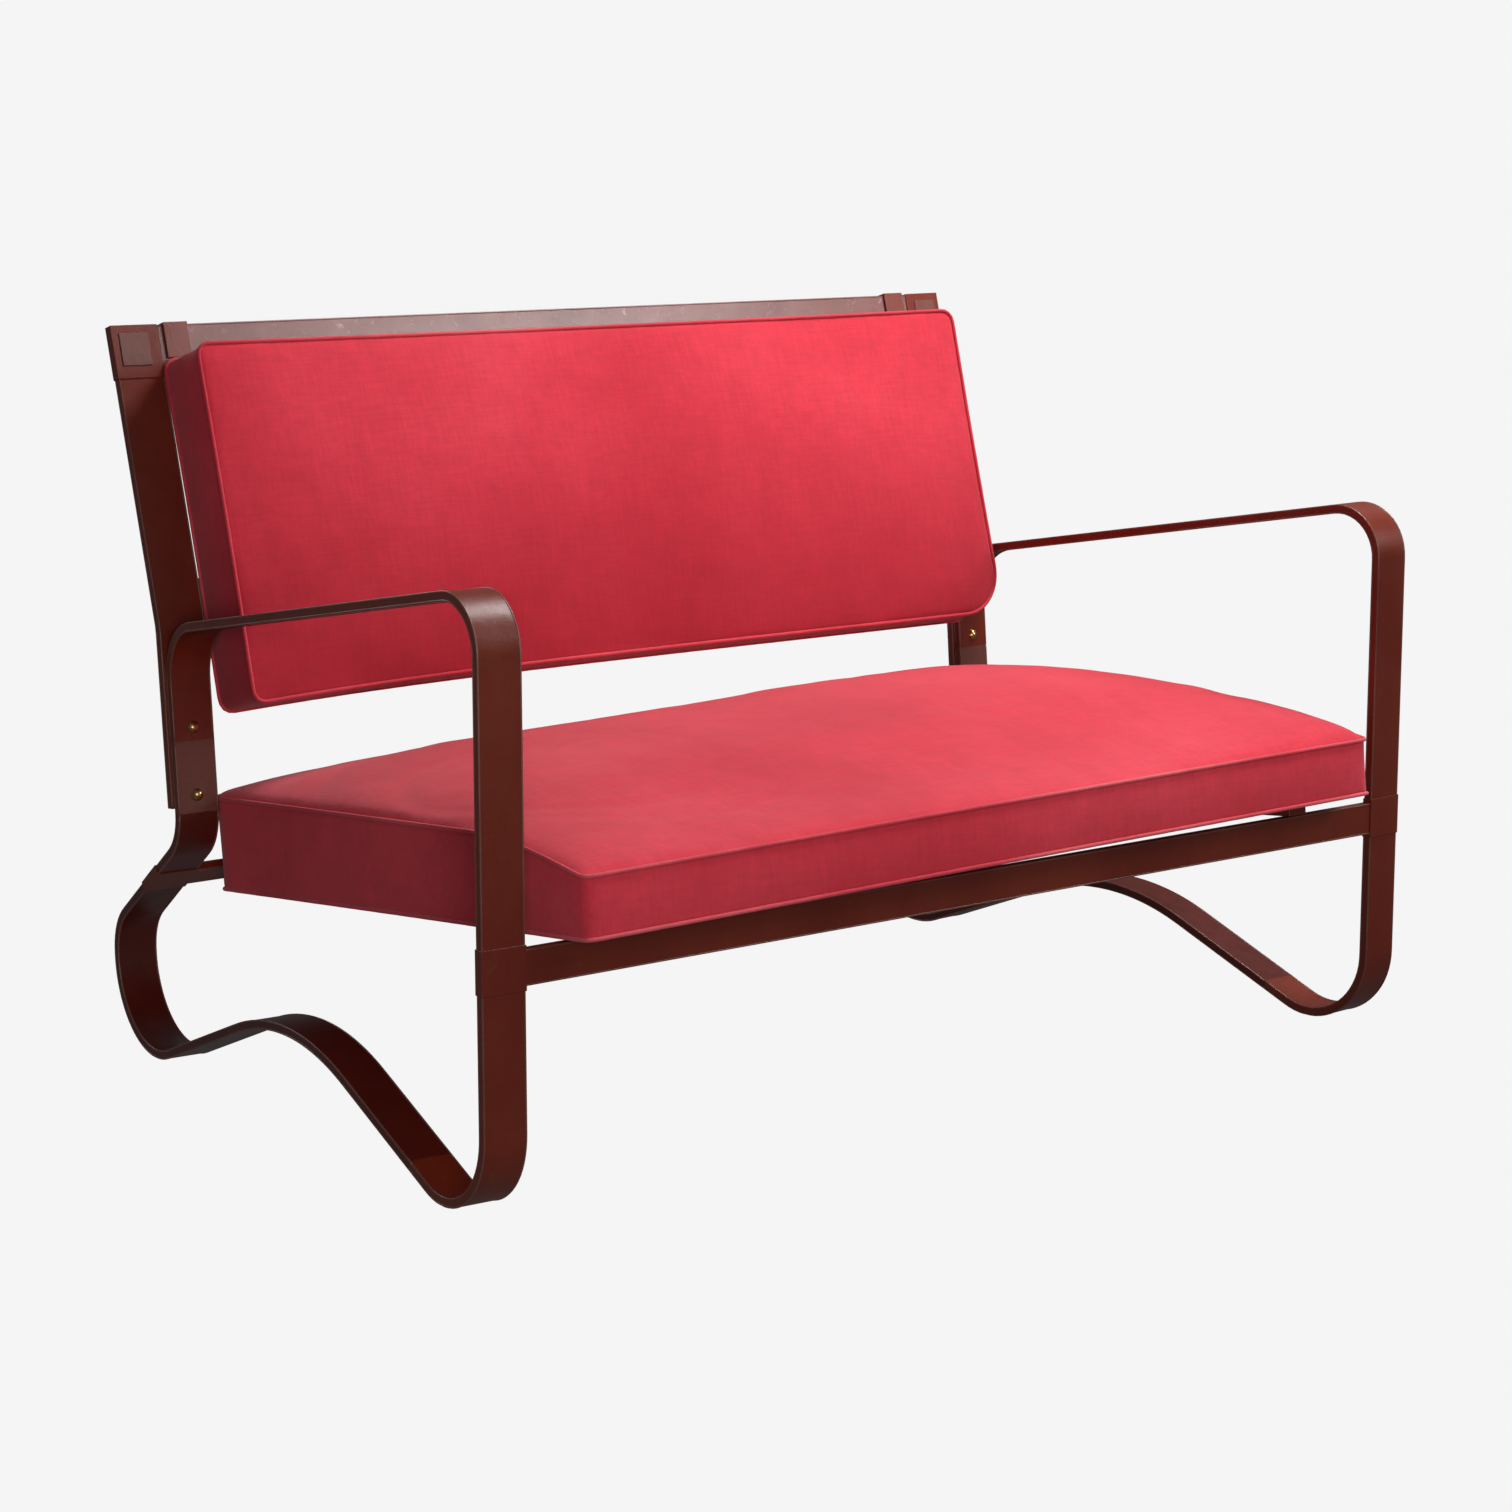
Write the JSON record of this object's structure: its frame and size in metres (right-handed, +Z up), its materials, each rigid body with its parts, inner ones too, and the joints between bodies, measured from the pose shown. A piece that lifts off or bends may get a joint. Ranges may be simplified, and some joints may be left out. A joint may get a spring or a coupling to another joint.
{
  "type": "two-seat settee",
  "caption": "Two-seat settee with closed side loops of leather-covered flat steel bar, a reclined back frame, and boxed red seat and back cushions edged with piping.",
  "frame": {"origin": "middle of the settee's footprint, on the floor", "axes": "+X along the width, the front faces -Y, +Z up"},
  "size_m": [1.2668, 0.891, 0.8196],
  "materials": {
    "leather": "satin",
    "leather_dark": "satin",
    "leather_worn": "satin",
    "steel_core": "satin",
    "zinc_steel": "satin",
    "brass": "polished",
    "red_fabric": "matte",
    "piping": "matte",
    "foam": "matte",
    "plywood": "matte"
  },
  "bodies": {
    "frame": {"back_bolts": "brass", "bolt_nuts": "zinc_steel", "bolt_washers": "zinc_steel", "front_rail_core": "steel_core", "front_rail_leather": "leather", "left_armrest_leather": "leather", "left_back_upright_core": "steel_core", "left_back_upright_leather": "leather", "left_corner_cap": "leather", "left_corner_panel": "leather_worn", "left_front_collar": "leather", "left_front_foot_leather": "leather", "left_loop_core": "steel_core", "left_rear_collar": "leather", "left_rear_leg_leather": "leather_dark", "left_rear_patch_leather": "leather_worn", "left_runner_leather": "leather_dark", "left_seat_bearer": "leather", "lower_back_rail_core": "steel_core", "lower_back_rail_leather": "leather", "rear_rail_core": "steel_core", "rear_rail_leather": "leather", "right_armrest_leather": "leather", "right_back_upright_core": "steel_core", "right_back_upright_leather": "leather", "right_corner_cap": "leather", "right_corner_panel": "leather_worn", "right_front_collar": "leather", "right_front_foot_leather": "leather", "right_loop_core": "steel_core", "right_rear_collar": "leather", "right_rear_leg_leather": "leather_dark", "right_rear_patch_leather": "leather_worn", "right_runner_leather": "leather_dark", "right_seat_bearer": "leather", "top_rail_core": "steel_core", "top_rail_leather": "leather"},
    "seat_cushion": {"seat_cushion_board": "plywood", "seat_cushion_cover": "red_fabric", "seat_cushion_filling": "foam", "seat_piping_bottom": "piping", "seat_piping_top": "piping"},
    "back_cushion": {"back_cushion_board": "plywood", "back_cushion_cover": "red_fabric", "back_cushion_filling": "foam", "back_piping_front": "piping", "back_piping_rear": "piping", "left_back_strap": "leather", "right_back_strap": "leather"}
  },
  "joints": [
    {"name": "seat_lift", "type": "slide", "parent": "frame", "child": "seat_cushion", "axis": [0, 0, 1], "range_m": [0, 0.06]},
    {"name": "back_lift", "type": "slide", "parent": "frame", "child": "back_cushion", "axis": [0, 0.2723, 0.9622], "range_m": [0, 0.06]}
  ]
}
